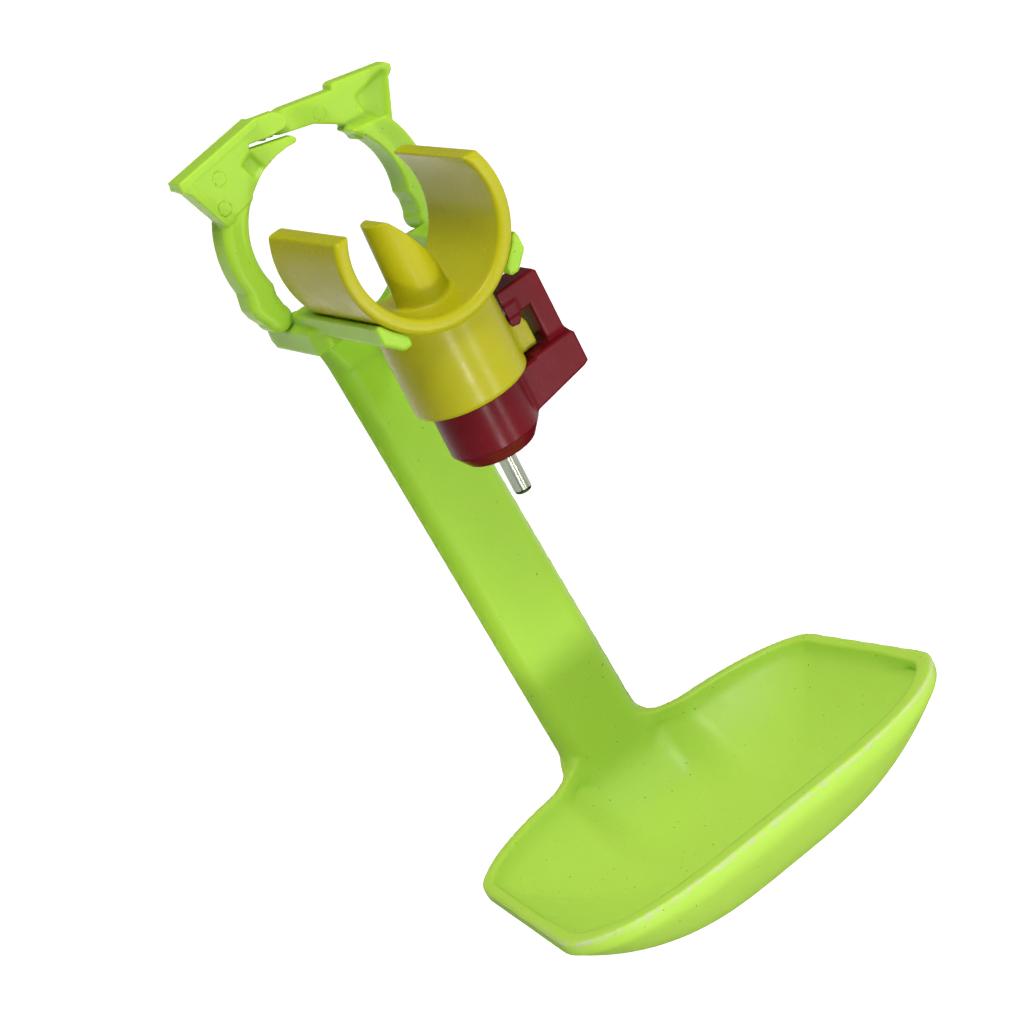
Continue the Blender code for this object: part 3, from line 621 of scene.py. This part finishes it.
YELLOW = plastic("yellow_moulding", (0.44, 0.42, 0.009), (0.40, 0.38, 0.007), (0.36, 0.34, 0.01),
                 0.15, 0.29, 0.0012, shine=0.17)
RED = plastic("red_moulding", (0.150, 0.004, 0.010), (0.130, 0.003, 0.008), (0.08, 0.003, 0.008),
              0.05, 0.29, 0.0004, shine=0.10)
# Painted shade and light by height: pale on the cup, darkest on the arm just under the saddle where the
# saddle casts its shade, and lighter again at the jaws.
GREEN_PAINTED_SHADE_BY_HEIGHT = [(0.10, (0.50, 0.77, 0.11)), (0.17, (0.46, 0.73, 0.08)), (0.32, (0.41, 0.68, 0.05)),
                   (0.60, (0.28, 0.54, 0.026)), (0.74, (0.25, 0.51, 0.022)), (0.80, (0.34, 0.59, 0.04)),
                   (1.0, (0.35, 0.59, 0.045))]
GREEN = plastic("green_moulding", (0.40, 0.63, 0.045), (0.36, 0.585, 0.036), (0.16, 0.30, 0.02),
                0.55, 0.38, 0.0045, flash=(0.52, 0.60, 0.32), painted_shade_by_z=GREEN_PAINTED_SHADE_BY_HEIGHT)
STEEL = steel("polished_steel")
RUBBER = rubber("seal_rubber")
FLAG = rubber("black_card")
GUIDE = plastic("white_moulding", (0.80, 0.80, 0.77), (0.74, 0.74, 0.71), (0.5, 0.5, 0.48), 0.2, 0.45, 0.001)

SHAPES = [
    ("saddle_shape", saddle_field, (-16.2, -12.2, -29.8), (16.2, 12.2, 7.4), 0.32,
     YELLOW, "saddle", "pipe_saddle", "yellow_plastic"),
    ("nipple_shape", nipple_field, (-8.4, -8.4, -40.4), (18.9, 8.4, -15.0), 0.25,
     RED, "nipple", "nipple_body", "red_plastic"),
    ("hanger_shape", hanger_field, (-41.2, -37.4, -119.0), (41.2, 33.4, -7.0), 0.5,
     GREEN, "hanger", "drip_cup_hanger", "green_plastic"),
    ("left_jaw_shape", left_jaw_field, (-21.0, 16.9, -11.4), (2.2, 24.7, 22.0), 0.22,
     GREEN, "left_jaw", "clamp_jaw_left", "green_plastic"),
    ("right_jaw_shape", right_jaw_field, (-5.0, 16.9, -11.4), (23.2, 24.7, 20.4), 0.22,
     GREEN, "right_jaw", "clamp_jaw_right", "green_plastic"),
]
for name, field, low, high, step, material, body, cad_node, slot in SHAPES:
    shape = moulded(name, field, low, high, step)
    shape.data.materials.append(material)
    if cad_node == "drip_cup_hanger":
        mark_flash(shape)
    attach(shape, body)
    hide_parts(cad_node)

PIVOT_Z = -35.6
pin_profile = [(0.0, PIVOT_Z + 1.0), (2.3, PIVOT_Z + 1.0)]
pin_profile += arc((0.0, PIVOT_Z), 2.6, 21.0, -55.0, 14)
pin_profile += [(1.47, -38.2), (1.47, -46.9), (1.44, -47.25), (1.33, -47.5), (1.1, -47.66), (0.6, -47.7),
                (0.0, -47.7)]
pin = turned("pin_shape", pin_profile)
pin.data.materials.append(STEEL)
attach(pin, "trigger")
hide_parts("trigger_pin")

for cad_node, material in (("valve_sleeve", STEEL), ("valve_rod", STEEL), ("valve_ball", STEEL),
                           ("seal_ring", RUBBER), ("rod_guide", GUIDE)):
    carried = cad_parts[cad_node]
    carried.data.materials.clear()
    carried.data.materials.append(material)


# ------------------------------------------------------------------ studio and camera

CAMERA_PLACE = (-0.19087, -0.45085, 0.14970)
CAMERA_RIGHT = (0.75237, -0.50136, -0.42731)
CAMERA_UP = (0.55469, 0.13222, 0.82149)
CAMERA_BACK = (-0.35535, -0.85508, 0.37757)
CAMERA_LENS = 119.22
FLOOR_Z = -0.42


def add_camera():
    data = bpy.data.cameras.new("camera")
    data.lens = CAMERA_LENS
    data.sensor_width = 36.0
    data.clip_start, data.clip_end = 0.01, 30.0
    obj = bpy.data.objects.new("camera", data)
    turn = Matrix((CAMERA_RIGHT, CAMERA_UP, CAMERA_BACK)).transposed()
    obj.matrix_world = Matrix.Translation(CAMERA_PLACE) @ turn.to_4x4()
    bpy.context.scene.collection.objects.link(obj)
    bpy.context.scene.camera = obj


def add_light(name, direction, distance, width, height, power, colour=(1.0, 1.0, 1.0)):
    data = bpy.data.lights.new(name, "AREA")
    data.shape = "RECTANGLE"
    data.size, data.size_y = width, height
    data.energy = power
    data.color = colour
    obj = bpy.data.objects.new(name, data)
    target = Vector((0.0, 0.0, -0.05))
    place = target + Vector(direction).normalized() * distance
    obj.location = place
    obj.rotation_euler = (target - place).to_track_quat("-Z", "Y").to_euler()
    obj.visible_camera = False
    bpy.context.scene.collection.objects.link(obj)


def add_flag(name, place, facing, width, height):
    """Black card that keeps light off one side; it is out of the picture."""
    bm = bmesh.new()
    bm.faces.new([bm.verts.new((x, y, 0.0)) for x, y in
                  ((-width / 2, -height / 2), (width / 2, -height / 2), (width / 2, height / 2),
                   (-width / 2, height / 2))])
    mesh = bpy.data.meshes.new(name)
    bm.to_mesh(mesh)
    bm.free()
    mesh.materials.append(FLAG)
    flag = bpy.data.objects.new(name, mesh)
    flag.location = place
    flag.rotation_euler = Vector(facing).to_track_quat("Z", "Y").to_euler()
    flag.visible_camera = False
    flag.visible_shadow = False
    bpy.context.scene.collection.objects.link(flag)
    flag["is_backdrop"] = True


def add_floor():
    bm = bmesh.new()
    reach = 6.0
    bm.faces.new([bm.verts.new((x, y, FLOOR_Z)) for x, y in
                  ((-reach, -reach), (reach, -reach), (reach, reach), (-reach, reach))])
    mesh = bpy.data.meshes.new("floor")
    bm.to_mesh(mesh)
    bm.free()
    made, tree, shader, at = fresh_material("floor_paper")
    tree.links.new(ramp(tree, noise(tree, at, 30.0), [(0.3, (0.90,) * 3), (0.7, (0.93,) * 3)]),
                   shader.inputs["Base Color"])
    shader.inputs["Roughness"].default_value = 0.8
    shader.inputs["Emission Color"].default_value = (1.0, 1.0, 1.0, 1.0)
    shader.inputs["Emission Strength"].default_value = 0.95
    mesh.materials.append(made)
    floor = bpy.data.objects.new("floor", mesh)
    bpy.context.scene.collection.objects.link(floor)
    floor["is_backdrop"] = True


add_camera()
add_floor()
add_flag("flag_left", (-0.36, 0.05, 0.06), (1.0, 0.0, 0.0), 0.60, 0.44)
add_flag("flag_below", (0.0, 0.0, -0.24), (0.0, 0.0, 1.0), 0.60, 0.60)
world = bpy.data.worlds.new("studio")
world.use_nodes = True
world.node_tree.nodes["Background"].inputs["Color"].default_value = (1.0, 1.0, 1.0, 1.0)
world.node_tree.nodes["Background"].inputs["Strength"].default_value = 0.2
bpy.context.scene.world = world
bpy.context.scene.view_settings.view_transform = "Standard"
add_light("key", (0.62, -0.70, 0.10), 0.95, 0.45, 0.45, 1.0)
add_light("top", (-0.10, -0.42, 1.0), 1.0, 0.50, 0.50, 8.5)
add_light("streak_front", (-0.266, -0.900, -0.345), 0.80, 0.045, 0.07, 1.8)
add_light("streak_right", (0.28, -0.895, -0.345), 0.80, 0.035, 0.07, 1.1)

low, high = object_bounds()
